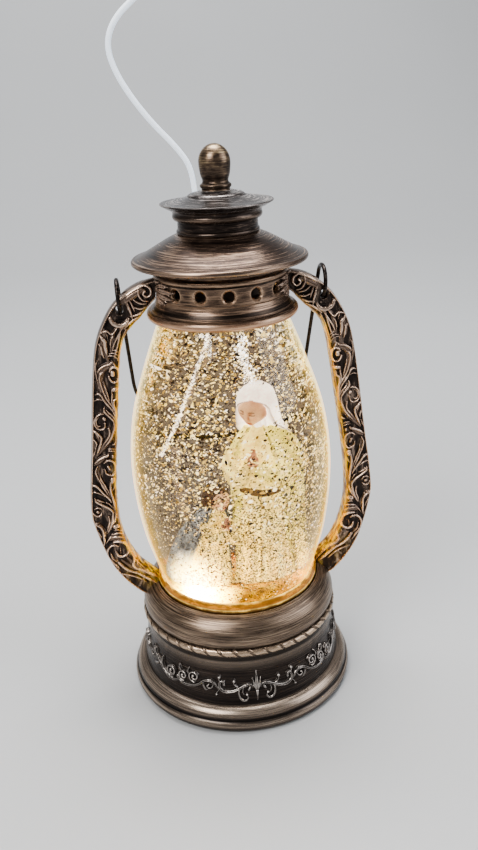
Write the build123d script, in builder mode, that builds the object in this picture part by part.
from build123d import *
import math
import os

# Decorative lantern: a water-filled globe on a round base, under a vented roof,
# between two scrolled arms, with a swinging wire bail and a lead at the back.
# Millimetres. +Z up, front towards -Y, arms along +X and -X.
# Origin: on the standing surface, under the centre of the base.

# ---------------------------------------------------------------- driving dimensions
height_overall = 260.0      # standing surface to top of the knob
foot_radius = 56.0          # widest radius of the foot
wall = 2.2                  # moulded wall of the base shells
plate_z = 2.0               # underside of the bottom plate
shelf_z = 47.2              # underside of the shelf that carries the globe
shelf_top = 49.2
shoulder_top = 56.3         # top edge of the pedestal shoulder
seat_top = 61.3             # top edge of the lit ring around the globe
glass = 1.8                 # globe wall
globe_bottom = 51.0
fill_bottom = 55.8          # top of the stopper, floor of the water
fill_top = 188.0            # water level
scene_z = 62.5              # ground that the figures stand on
neck_r = 24.5               # globe neck, outside
neck_top = 198.0
band_r = 28.0               # vented band, outside radius at its waist
vent_z = 201.8
vent_r = 2.4
vent_step = 25.0            # degrees from vent to vent
roof_edge_r = 38.4
roof_edge_z = 213.3
roof_top = 224.1
crown_r = 24.2
arm_half = 5.5              # half thickness of an arm, front to back
arm_flank = 3.6             # half thickness of the arm at its bevelled edge
hook_x = 45.1               # bail hook, distance from the middle
pivot_z = 199.85            # bail axis height
hook_r = 6.8                # hook ring, wire centreline radius
bail_wire_r = 0.9
bail_tilt = 25.0            # stored bail leans this far behind the vertical
bail_taper = 2.1            # legs close in by this angle
bail_reach = 100.0          # hook to crossbar along the legs
cell_r, cell_len, cell_pitch = 7.1, 49.5, 14.8
post_r = 41.5               # radius of the four long screw posts
lead_r = 1.45               # lead radius
lead_x, lead_z = 14.0, 17.0  # inlet position at the back of the base
switch_x = -9.5             # slide knob at rest
switch_travel = 5.0

os.makedirs("parts", exist_ok=True)

# Globe, outer half profile (radius, height), from above the lit ring to under the collar.
globe_line = [(36.4, 55.0), (37.35, 58.0), (40.6, 70.0), (44.4, 85.0), (46.9, 105.0), (47.0, 125.0),
              (44.0, 145.0), (37.6, 165.0), (29.9, 185.0), (28.3, 189.0)]


def set_in(points, depth):
    """Half-profile points moved inwards along their normals."""
    moved = []
    for i, (r, z) in enumerate(points):
        r0, z0 = points[max(i - 1, 0)]
        r1, z1 = points[min(i + 1, len(points) - 1)]
        length = math.hypot(r1 - r0, z1 - z0)
        moved.append((r - depth * (z1 - z0) / length, z + depth * (r1 - r0) / length))
    return moved


def globe_radius(z):
    """Radius of the globe's outside at a height, by straight steps."""
    for (r0, z0), (r1, z1) in zip(globe_line, globe_line[1:]):
        if z0 <= z <= z1:
            return r0 + (r1 - r0) * (z - z0) / (z1 - z0)
    return globe_line[-1][0]


water_line = [(34.75, 56.6)] + set_in(globe_line, glass)[2:]

# ---------------------------------------------------------------- base
# Skirt of the base: rounded foot, groove, wide rounded band, slightly hollow cone.
with BuildPart() as base_shell:
    with BuildSketch(Plane.XZ):
        with BuildLine():
            Line((53.0, 0.8), (54.9, 0.8))
            ThreePointArc((54.9, 0.8), (foot_radius, 3.3), (54.7, 6.1))
            ThreePointArc((54.7, 6.1), (53.9, 9.2), (50.1, 11.8))
            Spline((50.1, 11.8), (48.7, 20.0), (47.5, 28.5), (46.8, 37.4))
            Line((46.8, 37.4), (44.6, 37.4))
            Spline((44.6, 37.4), (45.3, 28.5), (46.4, 20.0), (47.7, 12.6))
            Polyline((47.7, 12.6), (51.4, 9.0), (52.6, 6.0), (53.0, 0.8))
        make_face()
    revolve(axis=Axis.Z)
    # Window for the inlet socket and slot for the slide knob, at the back.
    with BuildSketch(Plane.XZ.offset(-52.0)):
        with Locations((lead_x, lead_z)):
            RectangleRounded(9.8, 4.4, 1.2)
        with Locations((switch_x - switch_travel / 2, lead_z)):
            RectangleRounded(9.2, 4.0, 1.0)
    extrude(amount=12.0, mode=Mode.SUBTRACT)
base_shell.part.label = "base_shell"

# Pedestal: rope bead, rounded shoulder, inner shelf and four long screw posts.
with BuildPart() as pedestal_shell:
    with BuildSketch(Plane.XZ):
        with BuildLine():
            Polyline((44.0, 37.4), (46.3, 37.4), (46.9, 37.9))
            ThreePointArc((46.9, 37.9), (48.4, 39.7), (46.9, 41.6))
            Spline((46.9, 41.6), (47.9, 44.0), (47.7, 47.5), (46.4, 50.8), (43.9, 53.9), (40.4, shoulder_top))
            Polyline((40.4, shoulder_top), (40.1, 55.6), (40.1, shelf_top), (24.0, shelf_top),
                     (24.0, shelf_z), (44.6, shelf_z), (45.6, 45.0), (45.2, 41.8), (44.0, 37.4))
        make_face()
    revolve(axis=Axis.Z)
    # Screw posts, and the short bosses for the motor bracket.
    with BuildSketch(Plane.XY.offset(20.4)):
        with PolarLocations(post_r, 4, start_angle=45):
            Circle(3.0)
    extrude(amount=shelf_z - 20.4)
    with BuildSketch(Plane.XY.offset(43.0)):
        with PolarLocations(27.0, 3, start_angle=30):
            Circle(3.0)
    extrude(amount=shelf_z - 43.0)
    with BuildSketch(Plane.XY.offset(20.4)):
        with PolarLocations(post_r, 4, start_angle=45):
            Circle(1.25)
    extrude(amount=12.0, mode=Mode.SUBTRACT)
    with BuildSketch(Plane.XY.offset(43.0)):
        with PolarLocations(27.0, 3, start_angle=30):
            Circle(1.1)
    extrude(amount=5.0, mode=Mode.SUBTRACT)
    # Holes for the locating pegs of the arms, square to the shoulder.
    for side in (1, -1):
        with BuildSketch(Plane(origin=(side * 43.0, 0, 51.9), z_dir=(side * 0.75, 0, 0.66))):
            Circle(1.7)
        extrude(amount=8.0, mode=Mode.SUBTRACT)
pedestal_shell.part.label = "pedestal_shell"

# Lit ring that the globe stands in.
with BuildPart() as seat_ring:
    with BuildSketch(Plane.XZ):
        with BuildLine():
            Polyline((39.8, shelf_top), (39.8, 57.6), (39.5, 59.2), (39.0, 60.5))
            ThreePointArc((39.0, 60.5), (38.8, 61.0), (38.55, 61.2))
            Polyline((38.55, 61.2), (globe_radius(60.4) + 0.3, 60.4), (globe_radius(58.0) + 0.3, 58.0),
                     (globe_radius(55.2) + 0.3, 55.2), (36.8, 53.0), (36.8, shelf_top), (39.8, shelf_top))
        make_face()
    revolve(axis=Axis.Z)
seat_ring.part.label = "seat_ring"

# Bottom plate with the battery box and four screw towers.
with BuildPart() as bottom_plate:
    with BuildSketch(Plane.XY.offset(plate_z)):
        Circle(51.8)
    extrude(amount=2.0)
    with BuildSketch(Plane.XY.offset(plate_z)):
        Rectangle(57.8, 48.0)
    extrude(amount=18.6)
    with BuildSketch(Plane.XY.offset(plate_z)):
        with PolarLocations(post_r, 4, start_angle=45):
            Circle(4.0)
    extrude(amount=18.4)
    with BuildSketch(Plane.XY.offset(plate_z)):
        with Locations((0, 28.5)):
            Circle(3.6)
    extrude(amount=8.0)
    with BuildSketch(Plane.XY.offset(plate_z)):
        Rectangle(55.0, 44.8)
    extrude(amount=17.0, mode=Mode.SUBTRACT)
    # Rebate for the door and its screw tab.
    with BuildSketch(Plane.XY.offset(plate_z)):
        Rectangle(57.0, 47.0)
        with Locations((0, 27.0)):
            Rectangle(12.4, 11.4)
    extrude(amount=1.5, mode=Mode.SUBTRACT)
    with BuildSketch(Plane.XY.offset(plate_z)):
        with Locations((0, 28.5)):
            Circle(1.1)
    extrude(amount=6.0, mode=Mode.SUBTRACT)
    with BuildSketch(Plane.XY.offset(plate_z)):
        with PolarLocations(post_r, 4, start_angle=45):
            Circle(3.0)
    extrude(amount=14.4, mode=Mode.SUBTRACT)
    with BuildSketch(Plane.XY.offset(plate_z)):
        with PolarLocations(post_r, 4, start_angle=45):
            Circle(1.6)
    extrude(amount=18.4, mode=Mode.SUBTRACT)
bottom_plate.part.label = "bottom_plate"

with BuildPart() as rubber_feet:
    with BuildSketch(Plane.XY):
        with PolarLocations(45.5, 4):
            Circle(4.4)
    extrude(amount=plate_z)
    fillet(rubber_feet.edges().group_by(Axis.Z)[0], 0.6)
rubber_feet.part.label = "rubber_feet"

with BuildPart() as base_screws:
    with BuildSketch(Plane.XY.offset(13.6)):
        with PolarLocations(post_r, 4, start_angle=45):
            Circle(2.7)
    extrude(amount=2.8)
    with BuildSketch(Plane.XY.offset(16.4)):
        with PolarLocations(post_r, 4, start_angle=45):
            Circle(1.25)
    extrude(amount=13.6)
    with BuildSketch(Plane.XY.offset(13.6)):
        with PolarLocations(post_r, 4, start_angle=45):
            Rectangle(2.6, 0.6)
            Rectangle(0.6, 2.6)
    extrude(amount=1.2, mode=Mode.SUBTRACT)
base_screws.part.label = "base_screws"

with BuildPart() as battery_door:
    with BuildSketch(Plane.XY.offset(plate_z)):
        Rectangle(56.6, 46.6)
        with Locations((0, 26.9)):
            Rectangle(12.0, 10.8)
    extrude(amount=1.4)
    with BuildSketch(Plane.XY.offset(plate_z)):
        with Locations((0, 28.5)):
            Circle(1.4)
    extrude(amount=1.4, mode=Mode.SUBTRACT)
    with BuildSketch(Plane.XY.offset(plate_z)):
        with GridLocations(0, 3.0, 1, 5):
            SlotOverall(22.0, 1.2)
    extrude(amount=0.5, mode=Mode.SUBTRACT)
battery_door.part.label = "battery_door"

with BuildPart() as door_screw:
    with BuildSketch(Plane.XY.offset(0.7)):
        with Locations((0, 28.5)):
            Circle(2.3)
    extrude(amount=plate_z - 0.7)
    with BuildSketch(Plane.XY.offset(plate_z)):
        with Locations((0, 28.5)):
            Circle(1.1)
    extrude(amount=5.5)
    with BuildSketch(Plane.XY.offset(0.7)):
        with Locations((0, 28.5)):
            Rectangle(2.6, 0.5)
            Rectangle(0.5, 2.6)
    extrude(amount=0.7, mode=Mode.SUBTRACT)
door_screw.part.label = "door_screw"

# Three round cells lying side by side along X, each with its raised end.
cell_z = 11.4
with BuildPart() as batteries:
    with BuildSketch(Plane.YZ.offset(-cell_len / 2 - 0.3)):
        with Locations((-cell_pitch, cell_z), (0, cell_z), (cell_pitch, cell_z)):
            Circle(cell_r)
    extrude(amount=cell_len)
    with BuildSketch(Plane.YZ.offset(cell_len / 2 - 0.3)):
        with Locations((-cell_pitch, cell_z), (cell_pitch, cell_z)):
            Circle(2.7)
    extrude(amount=1.0)
    with BuildSketch(Plane.YZ.offset(-cell_len / 2 - 1.3)):
        with Locations((0, cell_z)):
            Circle(2.7)
    extrude(amount=1.0)
batteries.part.label = "batteries"

# Contact plates at both ends of the battery box.
with BuildPart() as battery_contacts:
    with BuildSketch(Plane.YZ.offset(-27.4)):
        with Locations((-cell_pitch, cell_z), (0, cell_z), (cell_pitch, cell_z)):
            RectangleRounded(9.0, 10.0, 1.5)
    extrude(amount=0.5)
    with BuildSketch(Plane.YZ.offset(26.9)):
        with Locations((-cell_pitch, cell_z), (0, cell_z), (cell_pitch, cell_z)):
            RectangleRounded(9.0, 10.0, 1.5)
    extrude(amount=0.5)
    # Coiled spring seats, as short cones against the flat ends of the cells.
    with BuildSketch(Plane.YZ.offset(-26.9)):
        with Locations((-cell_pitch, cell_z), (cell_pitch, cell_z)):
            Circle(3.4)
            Circle(2.4, mode=Mode.SUBTRACT)
    extrude(amount=1.6)
    with BuildSketch(Plane.YZ.offset(24.8)):
        with Locations((0, cell_z)):
            Circle(3.4)
            Circle(2.4, mode=Mode.SUBTRACT)
    extrude(amount=2.1)
battery_contacts.part.label = "battery_contacts"

# Upright circuit board behind the battery box.
board_y = 38.5
with BuildPart() as control_board:
    with BuildSketch(Plane.XZ.offset(-board_y)):
        with Locations((0, 18.0)):
            RectangleRounded(44.0, 22.0, 1.0)
    extrude(amount=1.2)
    with BuildSketch(Plane.XZ.offset(-(board_y - 1.2))):
        with Locations((12.0, 24.0)):
            Rectangle(6.0, 5.0)
        with Locations((16.0, 12.0)):
            Rectangle(4.0, 3.0)
    extrude(amount=1.6)
    with BuildSketch(Plane.XZ.offset(-(board_y - 1.2))):
        with Locations((-17.5, 24.0)):
            Circle(3.0)
    extrude(amount=5.0)
control_board.part.label = "control_board"

# Inlet socket: folded metal shell with a small plastic block at its root.
with BuildPart() as usb_socket:
    with BuildSketch(Plane.XZ.offset(-45.8)):
        with Locations((lead_x, lead_z)):
            RectangleRounded(9.0, 3.6, 1.0)
    extrude(amount=45.8 - board_y)
    with BuildSketch(Plane.XZ.offset(-45.8)):
        with Locations((lead_x, lead_z)):
            RectangleRounded(8.4, 3.0, 0.8)
    extrude(amount=6.0, mode=Mode.SUBTRACT)
    with BuildSketch(Plane.XZ.offset(-45.0)):
        with Locations((lead_x, lead_z)):
            Rectangle(5.6, 0.6)
    extrude(amount=5.4)
usb_socket.part.label = "usb_socket"

with BuildPart() as switch_body:
    with BuildSketch(Plane.XZ.offset(-42.6)):
        with Locations((switch_x - switch_travel / 2, lead_z)):
            Rectangle(12.0, 6.8)
    extrude(amount=42.6 - board_y)
    with BuildSketch(Plane.XZ.offset(-42.6)):
        with Locations((switch_x - switch_travel / 2, lead_z)):
            Rectangle(9.2, 3.8)
    extrude(amount=2.9, mode=Mode.SUBTRACT)
switch_body.part.label = "switch_body"

with BuildPart() as switch_knob:
    with BuildSketch(Plane.XZ.offset(-49.0)):
        with Locations((switch_x, lead_z)):
            RectangleRounded(3.4, 3.2, 0.5)
    extrude(amount=49.0 - 40.0)
    with BuildSketch(Plane.XZ.offset(-49.0)):
        with Locations((switch_x - 0.9, lead_z), (switch_x, lead_z), (switch_x + 0.9, lead_z)):
            Rectangle(0.35, 3.2)
    extrude(amount=0.4, mode=Mode.SUBTRACT)
switch_knob.part.label = "switch_knob"

# ---------------------------------------------------------------- stirrer drive and light
with BuildPart() as motor:
    with BuildSketch(Plane.XY.offset(22.0)):
        Circle(10.0)
    extrude(amount=19.0)
    fillet(motor.edges().group_by(Axis.Z)[0], 1.0)
    with BuildSketch(Plane.XY.offset(41.0)):
        Circle(3.0)
    extrude(amount=1.4)
    with BuildSketch(Plane.XY.offset(30.0)):
        Circle(1.06)
    extrude(amount=12.4, mode=Mode.SUBTRACT)
motor.part.label = "motor"

with BuildPart() as motor_shaft:
    with BuildSketch(Plane.XY.offset(30.2)):
        Circle(1.0)
    extrude(amount=16.0)
motor_shaft.part.label = "motor_shaft"

with BuildPart() as magnet_carrier:
    with BuildSketch(Plane.XY.offset(43.6)):
        Circle(12.0)
    extrude(amount=3.2)
    with BuildSketch(Plane.XY.offset(43.1)):
        Circle(3.0)
    extrude(amount=0.5)
    with BuildSketch(Plane.XY.offset(43.1)):
        Circle(1.0)
    extrude(amount=3.1, mode=Mode.SUBTRACT)
    with BuildSketch(Plane.XY.offset(44.4)):
        with PolarLocations(7.4, 4):
            Circle(2.6)
    extrude(amount=2.4, mode=Mode.SUBTRACT)
magnet_carrier.part.label = "magnet_carrier"

with BuildPart() as drive_magnets:
    with BuildSketch(Plane.XY.offset(44.4)):
        with PolarLocations(7.4, 4):
            Circle(2.55)
    extrude(amount=2.3)
drive_magnets.part.label = "drive_magnets"

with BuildPart() as motor_bracket:
    with BuildSketch(Plane.XY.offset(41.0)):
        Circle(23.5)
        with PolarLocations(27.0, 3, start_angle=30):
            Circle(3.6)
        Circle(3.0, mode=Mode.SUBTRACT)
        with PolarLocations(27.0, 3, start_angle=30):
            Circle(1.4, mode=Mode.SUBTRACT)
        with PolarLocations(15.0, 6, start_angle=0):
            Circle(2.6, mode=Mode.SUBTRACT)
    extrude(amount=2.0)
    with BuildSketch(Plane.XY.offset(43.0)):
        with PolarLocations(19.5, 3, start_angle=90):
            Circle(1.8)
    extrude(amount=1.6)
motor_bracket.part.label = "motor_bracket"

with BuildPart() as bracket_screws:
    with BuildSketch(Plane.XY.offset(39.0)):
        with PolarLocations(27.0, 3, start_angle=30):
            Circle(2.4)
    extrude(amount=2.0)
    with BuildSketch(Plane.XY.offset(41.0)):
        with PolarLocations(27.0, 3, start_angle=30):
            Circle(1.1)
    extrude(amount=6.5)
bracket_screws.part.label = "bracket_screws"

# Ring-shaped light board around the magnet carrier.
with BuildPart() as led_board:
    with BuildSketch(Plane.XY.offset(44.6)):
        Circle(23.0)
        Circle(14.6, mode=Mode.SUBTRACT)
    extrude(amount=1.2)
led_board.part.label = "led_board"

with BuildPart() as leds:
    with BuildSketch(Plane.XY.offset(45.8)):
        with PolarLocations(19.0, 6, start_angle=0):
            Circle(1.6)
    extrude(amount=1.8)
    fillet(leds.edges().group_by(Axis.Z)[-1], 0.8)
leds.part.label = "leds"

# Thin inner wires: two to the light board, two to the motor, two to the battery box.
with BuildPart() as inner_wires:
    for x in (-7.0, -4.0):
        with BuildLine() as run:
            FilletPolyline((x, 37.1, 25.0), (x, 30.0, 25.5), (x, 27.0, 34.0), (x, 27.0, 45.2), (x, 23.4, 45.2),
                           radius=[2.5, 4.0, 1.5])
        with BuildSketch(run.line ^ 0):
            Circle(0.5)
        sweep(path=run.line)
    for x in (2.0, 5.0):
        with BuildLine() as run:
            FilletPolyline((x, 37.1, 20.5), (x, 30.0, 22.4), (x, 19.0, 23.6), (x, 10.2, 27.0), radius=[8.0, 8.0])
        with BuildSketch(run.line ^ 0):
            Circle(0.5)
        sweep(path=run.line)
    for x in (-14.0, -10.5):
        with BuildLine() as run:
            FilletPolyline((x, 37.1, 11.0), (x, 31.0, 9.0), (x, 24.2, 10.5), radius=[6.0])
        with BuildSketch(run.line ^ 0):
            Circle(0.5)
        sweep(path=run.line)
inner_wires.part.label = "inner_wires"

# ---------------------------------------------------------------- globe and what it holds
with BuildPart() as globe_shell:
    with BuildSketch(Plane.XZ):
        with BuildLine():
            Polyline((31.5, globe_bottom), (33.8, globe_bottom), (35.8, 52.6), globe_line[0])
            Spline(*globe_line)
            Polyline(globe_line[-1], (27.3, 191.0), (neck_r, 192.4), (neck_r, neck_top), (22.7, neck_top),
                     (22.7, 191.6), (25.6, 190.2), water_line[-1])
            Spline(*reversed(water_line))
            Polyline(water_line[0], (31.5, fill_bottom), (31.5, globe_bottom))
        make_face()
    revolve(axis=Axis.Z)
globe_shell.part.label = "globe_shell"

with BuildPart() as globe_stopper:
    with BuildSketch(Plane.XZ):
        with BuildLine():
            Polyline((0, shelf_top), (34.5, shelf_top), (34.5, globe_bottom), (31.3, globe_bottom), (31.3, 52.4),
                     (29.8, 52.4), (29.8, 54.4), (31.3, 54.4), (31.3, fill_bottom), (0, fill_bottom), (0, shelf_top))
        make_face()
    revolve(axis=Axis.Z)
    with BuildSketch(Plane.XY.offset(52.0)):
        Circle(1.5)
    extrude(amount=4.0, mode=Mode.SUBTRACT)
globe_stopper.part.label = "globe_stopper"

with BuildPart() as stopper_seal:
    with BuildSketch(Plane.XZ):
        with Locations((30.65, 53.4)):
            Circle(0.84)
    revolve(axis=Axis.Z)
stopper_seal.part.label = "stopper_seal"

with BuildPart() as impeller_pin:
    with BuildSketch(Plane.XY.offset(52.0)):
        Circle(1.5)
    extrude(amount=8.0)
    with BuildSketch(Plane.XY.offset(fill_bottom)):
        Circle(2.6)
    extrude(amount=0.5)
impeller_pin.part.label = "impeller_pin"

with BuildPart() as impeller:
    with BuildSketch(Plane.XY.offset(56.4)):
        Circle(9.8)
    extrude(amount=2.4)
    for k in range(6):
        with BuildSketch(Plane.XY.offset(56.8)):
            with Locations((8.4 * math.cos(math.radians(60 * k + 30)), 8.4 * math.sin(math.radians(60 * k + 30)))):
                Rectangle(9.6, 1.1, rotation=60 * k + 52)
        extrude(amount=2.8)
    with BuildSketch(Plane.XY.offset(56.4)):
        Circle(1.55)
    extrude(amount=4.0, mode=Mode.SUBTRACT)
    with BuildSketch(Plane.XY.offset(56.4)):
        with PolarLocations(5.6, 4):
            Circle(2.0)
    extrude(amount=1.8, mode=Mode.SUBTRACT)
impeller.part.label = "impeller"

with BuildPart() as impeller_magnets:
    with BuildSketch(Plane.XY.offset(56.45)):
        with PolarLocations(5.6, 4):
            Circle(1.95)
    extrude(amount=1.7)
impeller_magnets.part.label = "impeller_magnets"

# Ground of the scene: a hollow mound over the impeller, open at the sides and on top for the water.
with BuildPart() as scene_base:
    with BuildSketch(Plane.XZ):
        with BuildLine():
            Polyline((14.6, fill_bottom), (30.4, fill_bottom), (30.8, 58.6), (29.0, 61.2), (26.8, scene_z),
                     (0, scene_z), (0, 60.4), (14.6, 60.4), (14.6, fill_bottom))
        make_face()
    revolve(axis=Axis.Z)
    for angle in (70, 160, 250, 340):
        with BuildSketch(Plane.XY.offset(fill_bottom)):
            with Locations((22.0 * math.cos(math.radians(angle)), 22.0 * math.sin(math.radians(angle)))):
                Rectangle(22.0, 6.0, rotation=angle)
        extrude(amount=2.4, mode=Mode.SUBTRACT)
    with BuildSketch(Plane.XY.offset(60.0)):
        with Locations((-6.0, 10.5), (2.0, 12.0), (-12.0, 5.0), (-1.5, -9.5)):
            Circle(1.5)
    extrude(amount=3.0, mode=Mode.SUBTRACT)
scene_base.part.label = "scene_base"

# Standing robed and veiled figure, hands joined in front.
fig_x, fig_y = 11.0, -3.5
with BuildPart() as robed_figure:
    for z, dx, dy, rx, ry in ((scene_z, 0, 0, 12.0, 8.6), (82.0, 0, -0.2, 10.6, 7.8), (104.0, 0.3, -0.4, 10.4, 7.2),
                              (120.0, 0.8, -0.6, 12.4, 7.4), (130.0, 0.6, -0.4, 11.4, 6.6), (137.0, 0, -0.8, 6.4, 5.4)):
        with BuildSketch(Plane.XY.offset(z)):
            with Locations((fig_x + dx, fig_y + dy)):
                Ellipse(rx, ry)
    loft()
    with BuildSketch(Plane(origin=(fig_x - 1.0, fig_y - 1.4, 0), x_dir=(1, 0, 0), z_dir=(0, -1, 0))):
        with BuildLine():
            Line((0, 135.6), (0, 154.0))
            ThreePointArc((0, 154.0), (7.4, 145.2), (0, 135.6))
        make_face()
    revolve(axis=Axis((fig_x - 1.0, fig_y - 1.4, 0), (0, 0, 1)))
    with Locations((fig_x - 4.2, fig_y - 8.2, 123.5)):
        Sphere(3.4)
robed_figure.part.label = "robed_figure"

# Kneeling cloaked figure beside it.
kneel_x, kneel_y = -14.6, -8.0
with BuildPart() as kneeling_figure:
    for z, dx, dy, rx, ry in ((scene_z, 0, 0, 11.6, 8.2), (74.0, 0.6, 0, 10.6, 7.8), (86.0, 3.0, 0, 8.0, 6.8),
                              (97.0, 5.2, 0, 6.4, 5.6), (101.5, 6.2, 0, 3.6, 3.4)):
        with BuildSketch(Plane.XY.offset(z)):
            with Locations((kneel_x + dx, kneel_y + dy)):
                Ellipse(rx, ry)
    loft()
    with Locations((kneel_x + 7.6, kneel_y - 0.6, 106.0)):
        Sphere(5.4)
kneeling_figure.part.label = "kneeling_figure"

with BuildPart() as liquid_fill:
    with BuildSketch(Plane.XZ):
        with BuildLine():
            Polyline((0, fill_bottom), (31.5, fill_bottom), water_line[0])
            Spline(*water_line)
            Polyline(water_line[-1], (0, water_line[-1][1]), (0, fill_bottom))
        make_face()
    revolve(axis=Axis.Z)
    split(bisect_by=Plane.XY.offset(fill_top), keep=Keep.BOTTOM)
    add(scene_base.part, mode=Mode.SUBTRACT)
    add(robed_figure.part, mode=Mode.SUBTRACT)
    add(kneeling_figure.part, mode=Mode.SUBTRACT)
    # Water left out of the chamber that the impeller turns in.
    with BuildSketch(Plane.XY.offset(fill_bottom)):
        Circle(14.6)
    extrude(amount=60.4 - fill_bottom, mode=Mode.SUBTRACT)
liquid_fill.part.label = "liquid_fill"

# ---------------------------------------------------------------- top
# Plug in the neck; its raised middle stands behind the vents.
with BuildPart() as neck_plug:
    with BuildSketch(Plane.XZ):
        with BuildLine():
            Polyline((0, 194.5), (22.5, 194.5), (22.5, neck_top), (neck_r, neck_top), (neck_r, 199.4),
                     (20.6, 199.4), (20.2, 205.6), (19.2, 206.6), (0, 206.6), (0, 194.5))
        make_face()
    revolve(axis=Axis.Z)
neck_plug.part.label = "neck_plug"

# Collar: rounded lip, flare, band with round vents, stepped ring under the eaves.
with BuildPart() as gallery_collar:
    with BuildSketch(Plane.XZ):
        with BuildLine():
            Line((29.8, 188.6), (31.4, 188.5))
            ThreePointArc((31.4, 188.5), (33.6, 190.6), (31.9, 192.6))
            Line((31.9, 192.6), (31.4, 192.7))
            Spline((31.4, 192.7), (30.3, 194.1), (29.3, 196.2), (28.9, 197.7))
            Line((28.9, 197.7), (28.4, 198.1))
            Spline((28.4, 198.1), (band_r, 201.8), (28.2, 205.6))
            Line((28.2, 205.6), (28.7, 206.0))
            ThreePointArc((28.7, 206.0), (29.5, 207.2), (28.7, 208.6))
            Polyline((28.7, 208.6), (28.3, 209.2), (28.3, 215.0), (26.9, 215.0), (26.9, 209.4), (21.0, 209.4),
                     (21.0, 207.6), (26.0, 207.6), (26.0, 201.8),
                     (26.6, 197.0), (28.6, 193.2), (29.9, 191.0), (29.8, 188.6))
        make_face()
    revolve(axis=Axis.Z)
    # Five vents in front and five at the back, each with a bevelled mouth.
    for angle in [middle + k * vent_step for middle in (-90, 90) for k in (-2, -1, 0, 1, 2)]:
        a = math.radians(angle)
        with BuildSketch(Plane(origin=(20 * math.cos(a), 20 * math.sin(a), vent_z),
                               z_dir=(math.cos(a), math.sin(a), 0))):
            Circle(vent_r)
        extrude(amount=12.0, mode=Mode.SUBTRACT)
        with Locations(Plane(origin=(27.85 * math.cos(a), 27.85 * math.sin(a), vent_z),
                             z_dir=(math.cos(a), math.sin(a), 0))):
            Cone(bottom_radius=vent_r, top_radius=vent_r + 0.9, height=0.9, mode=Mode.SUBTRACT)
    # Holes for the screws of the arms and of the roof.
    with BuildSketch(Plane.YZ.offset(-30.0)):
        with Locations((0, vent_z)):
            Circle(1.3)
    extrude(amount=60.0, mode=Mode.SUBTRACT)
    with BuildSketch(Plane.XY.offset(207.0)):
        with PolarLocations(23.6, 3, start_angle=90):
            Circle(1.4)
    extrude(amount=3.0, mode=Mode.SUBTRACT)
gallery_collar.part.label = "gallery_collar"

# Roof: rolled edge and low bell shape.
with BuildPart() as roof:
    with BuildSketch(Plane.XZ):
        with BuildLine():
            ThreePointArc((36.6, 212.3), (roof_edge_r, roof_edge_z), (37.0, 214.5))
            Spline((37.0, 214.5), (34.4, 215.6), (30.4, 217.7), (26.0, 220.2), (21.4, 222.6), (17.6, roof_top))
            Polyline((17.6, roof_top), (0, roof_top), (0, 222.0), (16.6, 222.0))
            Spline((16.6, 222.0), (20.6, 220.6), (25.2, 218.3), (29.4, 215.9), (33.4, 213.9), (36.6, 212.3))
        make_face()
    revolve(axis=Axis.Z)
    with BuildSketch(Plane.XY.offset(209.4)):
        with PolarLocations(23.6, 3, start_angle=90):
            Circle(2.9)
    extrude(amount=10.6)
    with BuildSketch(Plane.XY.offset(209.4)):
        with PolarLocations(23.6, 3, start_angle=90):
            Circle(1.1)
    extrude(amount=8.0, mode=Mode.SUBTRACT)
    with BuildSketch(Plane.XY.offset(221.0)):
        Circle(1.6)
    extrude(amount=4.0, mode=Mode.SUBTRACT)
roof.part.label = "roof"

with BuildPart() as roof_screws:
    with BuildSketch(Plane.XY.offset(205.4)):
        with PolarLocations(23.6, 3, start_angle=90):
            Circle(2.0)
    extrude(amount=2.2)
    with BuildSketch(Plane.XY.offset(207.6)):
        with PolarLocations(23.6, 3, start_angle=90):
            Circle(1.1)
    extrude(amount=9.4)
roof_screws.part.label = "roof_screws"

# Chimney: bead, neck, swelling and flared rim, a cup open at the top.
with BuildPart() as chimney:
    with BuildSketch(Plane.XZ):
        with BuildLine():
            Line((1.6, roof_top), (17.2, roof_top))
            ThreePointArc((17.2, roof_top), (17.9, 225.1), (17.3, 226.1))
            Polyline((17.3, 226.1), (17.2, 229.6))
            Line((17.2, 229.6), (17.3, 229.9))
            ThreePointArc((17.3, 229.9), (18.8, 230.4), (19.2, 231.9))
            Spline((19.2, 231.9), (19.0, 233.0), (19.5, 234.2))
            Polyline((19.5, 234.2), (17.2, 234.2), (15.6, 231.0), (15.2, 226.1), (1.6, 226.1), (1.6, roof_top))
        make_face()
    revolve(axis=Axis.Z)
chimney.part.label = "chimney"

# Crown: thin dished disc with a low dome and a boss for the knob.
with BuildPart() as crown_cap:
    with BuildSketch(Plane.XZ):
        with BuildLine():
            Polyline((1.6, 227.0), (4.4, 227.0), (4.8, 234.2), (19.9, 234.2))
            Spline((19.9, 234.2), (22.2, 235.4), (24.0, 236.4))
            ThreePointArc((24.0, 236.4), (crown_r, 236.8), (23.9, 237.1))
            Spline((23.9, 237.1), (20.0, 237.4), (15.6, 238.4), (12.4, 239.3))
            Spline((12.4, 239.3), (11.9, 239.9), (9.5, 240.8), (7.0, 241.5))
            Polyline((7.0, 241.5), (1.6, 241.5), (1.6, 227.0))
        make_face()
    revolve(axis=Axis.Z)
crown_cap.part.label = "crown_cap"

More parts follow.
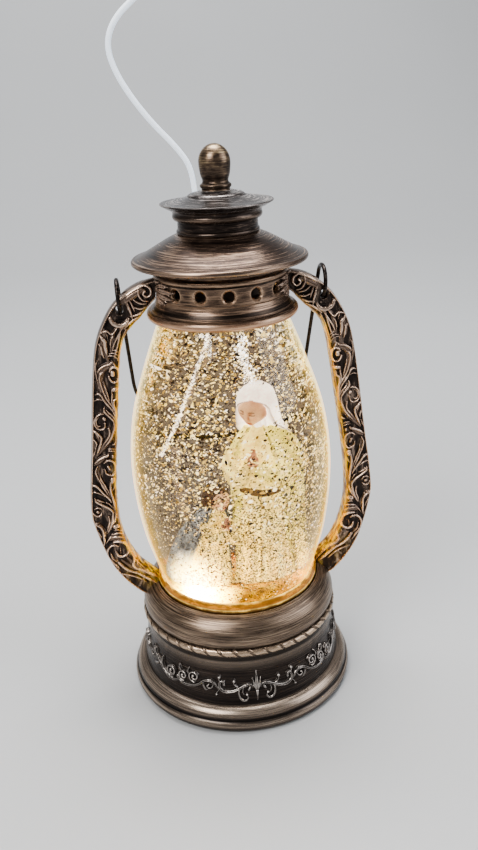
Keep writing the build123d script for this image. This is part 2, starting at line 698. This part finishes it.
# Knob: collar ring, narrow waist, acorn body.
with BuildPart() as finial_knob:
    with BuildSketch(Plane.XZ):
        with BuildLine():
            Polyline((0, 241.5), (5.9, 241.5), (6.1, 242.4))
            ThreePointArc((6.1, 242.4), (6.7, 243.3), (6.0, 244.2))
            Spline((6.0, 244.2), (5.5, 245.0), (5.9, 246.8), (6.5, 249.8), (6.7, 252.6))
            Spline((6.7, 252.6), (6.19, 255.43), (4.74, 257.83), (2.56, 259.44), (0, height_overall))
            Line((0, height_overall), (0, 241.5))
        make_face()
    revolve(axis=Axis.Z)
    with BuildSketch(Plane.XY.offset(241.5)):
        Circle(1.25)
    extrude(amount=11.0, mode=Mode.SUBTRACT)
finial_knob.part.label = "finial_knob"

with BuildPart() as finial_screw:
    with BuildSketch(Plane.XY.offset(219.6)):
        Circle(2.8)
    extrude(amount=2.4)
    with BuildSketch(Plane.XY.offset(222.0)):
        Circle(1.25)
    extrude(amount=29.5)
finial_screw.part.label = "finial_screw"

# ---------------------------------------------------------------- arms
# Outline of the right arm in the XZ plane: outer edge down, inner edge back up.
arm_outer = [(43.5, 200.2), (49.0, 194.9), (53.6, 187.6), (57.0, 179.6), (59.3, 169.0), (61.6, 153.0), (64.3, 131.0),
             (66.1, 118.0), (67.6, 106.0), (68.3, 95.5), (66.9, 87.0), (64.4, 77.0), (61.0, 67.5), (55.6, 58.6),
             (49.0, 51.4)]
arm_inner = [(40.5, 59.6), (48.0, 67.6), (53.2, 78.6), (55.5, 90.0), (55.8, 103.0), (54.2, 121.0), (52.2, 137.0),
             (50.3, 151.0), (47.6, 170.5), (44.6, 181.4), (39.6, 187.6)]
arm_parts = {}
for side, arm_name in ((-1, "left_arm"), (1, "right_arm")):
    outer = [(side * x, z) for x, z in arm_outer]
    inner = [(side * x, z) for x, z in arm_inner]
    outer_in = [(side * x, z) for x, z in set_in(arm_outer, -1.3)]
    inner_in = [(side * x, z) for x, z in set_in(arm_inner, -1.3)]
    with BuildPart() as arm:
        with BuildSketch(Plane.XZ):
            with BuildLine():
                Polyline((side * 26.6, 198.2), (side * 26.6, 205.4), (side * 36.0, 204.6), outer[0])
                Spline(*outer)
                Polyline(outer[-1], (side * 44.0, 48.6), (side * 39.0, 54.6), inner[0])
                Spline(*inner)
                Polyline(inner[-1], (side * 33.0, 192.0), (side * 30.0, 197.2), (side * 26.6, 198.2))
            make_face()
        extrude(amount=arm_flank, both=True)
        with BuildSketch(Plane.XZ):
            with BuildLine():
                Spline(*outer_in)
                Line(outer_in[-1], inner_in[0])
                Spline(*inner_in)
                Line(inner_in[-1], outer_in[0])
            make_face()
        extrude(amount=arm_half, both=True)
        # Leafed end that wraps the band under the eaves.
        with BuildSketch(Plane.XZ):
            with Locations((side * 29.4, 202.2)):
                Rectangle(2.6, 6.6)
        revolve(axis=Axis.Z, revolution_arc=38)
        with BuildSketch(Plane.XZ):
            with Locations((side * 29.4, 202.2)):
                Rectangle(2.6, 6.6)
        revolve(axis=Axis((0, 0, 0), (0, 0, -1)), revolution_arc=38)
        # Ends cut to the collar and to the shoulder that they sit on, and clear of the lit ring and globe.
        with BuildSketch(Plane.XZ):
            with BuildLine():
                Polyline((0, 187.0), (33.9, 187.0), (33.9, 191.2), (32.2, 192.75), (31.5, 192.85))
                Spline((31.5, 192.85), (30.4, 194.2), (29.4, 196.3), (29.0, 197.75))
                Line((29.0, 197.75), (28.45, 198.15))
                Spline((28.45, 198.15), (band_r + 0.02, 201.8), (28.25, 205.6))
                Polyline((28.25, 205.6), (28.8, 206.0), (29.6, 207.2), (29.6, 210.0), (0, 210.0), (0, 187.0))
            make_face()
        revolve(axis=Axis.Z, mode=Mode.SUBTRACT)
        with BuildSketch(Plane.XZ):
            with BuildLine():
                Polyline((0, 36.0), (46.3, 36.0), (46.9, 37.9))
                ThreePointArc((46.9, 37.9), (48.4, 39.7), (46.9, 41.6))
                Spline((46.9, 41.6), (47.9, 44.0), (47.7, 47.5), (46.4, 50.8), (43.9, 53.9), (40.4, shoulder_top))
                Polyline((40.4, shoulder_top), (40.4, 62.0), (0, 62.0), (0, 36.0))
            make_face()
        revolve(axis=Axis.Z, mode=Mode.SUBTRACT)
        # Locating peg into the shoulder.
        with BuildSketch(Plane(origin=(side * 43.2, 0, 52.1), z_dir=(side * 0.75, 0, 0.66))):
            Circle(1.6)
        extrude(amount=5.0)
        # Hook eye, front to back, with thinned cheeks that the hook ring passes round.
        with BuildSketch(Plane.XZ.offset(-8.0)):
            with Locations((side * hook_x, 194.2)):
                SlotOverall(4.6, 3.4, rotation=90)
        extrude(amount=16.0, mode=Mode.SUBTRACT)
        for front in (1, -1):
            with Locations((side * hook_x, front * (4.1 + 3.0), 196.4)):
                Box(5.0, 6.0, 12.0, mode=Mode.SUBTRACT)
        # Pilot hole for the screw from inside the collar.
        with BuildSketch(Plane.YZ.offset(side * 27.0)):
            with Locations((0, vent_z)):
                Circle(1.1)
        extrude(amount=side * 9.0, mode=Mode.SUBTRACT)
    arm.part.label = arm_name
    arm_parts[arm_name] = arm.part

with BuildPart() as arm_screws:
    for side in (1, -1):
        with BuildSketch(Plane.YZ.offset(side * 23.8)):
            with Locations((0, vent_z)):
                Circle(2.2)
        extrude(amount=side * 2.0)
        with BuildSketch(Plane.YZ.offset(side * 25.8)):
            with Locations((0, vent_z)):
                Circle(1.1)
        extrude(amount=side * 9.0)
arm_screws.part.label = "arm_screws"

# ---------------------------------------------------------------- bail
tilt, taper = math.radians(bail_tilt), math.radians(bail_taper)
down = Vector(0, math.sin(tilt), -math.cos(tilt))       # along the stored legs
behind = Vector(0, math.cos(tilt), math.sin(tilt))      # from the hook centre to the leg
arch_r = (hook_x * math.cos(taper) - bail_reach * math.sin(taper)) / (1 - math.sin(taper))
leg_len = hook_x * math.sin(taper) + (bail_reach - arch_r) * math.cos(taper)


def hook_point(side, turn):
    """A point of the hook ring, turned from the leg up over the arm."""
    along = down * math.cos(taper) + Vector(-side, 0, 0) * math.sin(taper)
    a = math.radians(turn)
    return Vector(side * hook_x, 0, pivot_z) + behind * (hook_r * math.cos(a)) + along * (-hook_r * math.sin(a))


def leg_end(side):
    along = down * math.cos(taper) + Vector(-side, 0, 0) * math.sin(taper)
    return hook_point(side, 0) + along * leg_len


crossbar = Vector(0, 0, pivot_z) + behind * hook_r + down * bail_reach
with BuildPart() as bail_handle:
    with BuildLine() as wire_line:
        ThreePointArc(hook_point(1, 312), hook_point(1, 156), hook_point(1, 0))
        Line(hook_point(1, 0), leg_end(1))
        ThreePointArc(leg_end(1), crossbar, leg_end(-1))
        Line(leg_end(-1), hook_point(-1, 0))
        ThreePointArc(hook_point(-1, 0), hook_point(-1, 156), hook_point(-1, 312))
    with BuildSketch(wire_line.line ^ 0):
        Circle(bail_wire_r)
    sweep(path=wire_line.line)
bail_handle.part.label = "bail_handle"

# ---------------------------------------------------------------- lead
# Near plug: metal tip in the socket, moulded grip and tapered relief.
with BuildPart() as inlet_plug_tip:
    with BuildSketch(Plane.XZ.offset(-49.2)):
        with Locations((lead_x, lead_z)):
            RectangleRounded(8.1, 2.7, 0.7)
    extrude(amount=8.2)
    with BuildSketch(Plane.XZ.offset(-48.0)):
        with Locations((lead_x, lead_z)):
            RectangleRounded(7.3, 1.9, 0.5)
    extrude(amount=8.0, mode=Mode.SUBTRACT)
inlet_plug_tip.part.label = "inlet_plug_tip"

with BuildPart() as inlet_plug:
    with BuildSketch(Plane.XZ.offset(-49.2)):
        with Locations((lead_x, lead_z)):
            RectangleRounded(11.2, 6.6, 2.2)
    extrude(amount=-14.4)
    fillet(inlet_plug.edges().group_by(Axis.Y)[-1], 0.8)
    with BuildSketch(Plane.XZ.offset(-63.6)):
        with Locations((lead_x, lead_z)):
            Circle(2.6)
    with BuildSketch(Plane.XZ.offset(-72.0)):
        with Locations((lead_x, lead_z)):
            Circle(1.9)
    loft()
inlet_plug.part.label = "inlet_plug"

# Route of the lead: out of the plug, up behind the globe, over to the left and out at the top.
route = [(14.0, 72.0, 17.0), (14.0, 86.5, 17.0), (14.8, 99.0, 23.5), (15.2, 105.0, 39.0), (15.4, 106.0, 68.0),
         (15.0, 105.6, 112.0), (11.0, 107.0, 158.0), (4.0, 107.6, 199.0), (-0.4, 106.4, 227.0), (-1.6, 105.4, 243.0),
         (-9.0, 104.4, 253.8), (-20.0, 103.0, 265.4), (-29.6, 101.6, 278.0), (-37.2, 100.8, 291.2),
         (-40.4, 100.4, 303.4), (-36.4, 100.0, 314.0), (-26.6, 99.6, 323.0), (-16.0, 99.4, 330.0)]
radii = []
for a, b, c in zip(route, route[1:], route[2:]):
    into, out = Vector(*b) - Vector(*a), Vector(*c) - Vector(*b)
    radii.append(0.45 * min(into.length, out.length) / math.tan(math.radians(into.get_angle(out) / 2)))
print("lead radii", [round(r, 1) for r in radii], "smallest in diameters", round(min(radii) / (2 * lead_r), 2))
with BuildPart() as lead_cord:
    with BuildLine() as lead_line:
        FilletPolyline(*route, radius=radii)
    with BuildSketch(lead_line.line ^ 0):
        Circle(lead_r)
    sweep(path=lead_line.line)
lead_cord.part.label = "lead_cord"
lead_len = sum(e.length for e in lead_line.edges())
print("lead length", round(lead_len, 1), "volume", round(lead_cord.part.volume, 1),
      "section times length", round(math.pi * lead_r**2 * lead_len, 1))

# Far plug: tapered relief, flat moulded grip and metal shell with its contact tongue.
end_point = Vector(*route[-1])
end_dir = (Vector(*route[-1]) - Vector(*route[-2])).normalized()
end_side = Vector(0, 1, 0).cross(end_dir).normalized()
plug_plane = Plane(origin=end_point, x_dir=end_side, z_dir=end_dir)
with BuildPart() as far_plug:
    with BuildSketch(plug_plane):
        Circle(1.9)
    with BuildSketch(plug_plane.offset(7.0)):
        Circle(2.8)
    loft()
    with BuildSketch(plug_plane.offset(7.0)):
        RectangleRounded(15.0, 7.4, 2.4)
    extrude(amount=17.0)
far_plug.part.label = "far_plug"

with BuildPart() as far_plug_shell:
    with BuildSketch(plug_plane.offset(24.0)):
        Rectangle(12.0, 4.5)
        Rectangle(11.3, 3.8, mode=Mode.SUBTRACT)
    extrude(amount=12.0)
far_plug_shell.part.label = "far_plug_shell"

with BuildPart() as far_plug_tongue:
    with BuildSketch(plug_plane.offset(24.0)):
        with Locations((0, -0.9)):
            Rectangle(11.1, 1.8)
    extrude(amount=11.4)
far_plug_tongue.part.label = "far_plug_tongue"

# ---------------------------------------------------------------- files
for piece in (base_shell, pedestal_shell, seat_ring, bottom_plate, rubber_feet, base_screws, battery_door, door_screw,
              batteries, battery_contacts, control_board, usb_socket, switch_body, switch_knob, motor, motor_shaft,
              magnet_carrier, drive_magnets, motor_bracket, bracket_screws, led_board, leds, inner_wires, globe_shell,
              globe_stopper, stopper_seal, impeller_pin, impeller, impeller_magnets, scene_base, robed_figure,
              kneeling_figure, liquid_fill, neck_plug, gallery_collar, roof, roof_screws, chimney, crown_cap,
              finial_knob, finial_screw, arm_screws, bail_handle, inlet_plug_tip, inlet_plug, lead_cord, far_plug,
              far_plug_shell, far_plug_tongue):
    export_step(piece.part, f"parts/{piece.part.label}.step")
for arm_name, arm_part in arm_parts.items():
    export_step(arm_part, f"parts/{arm_name}.step")
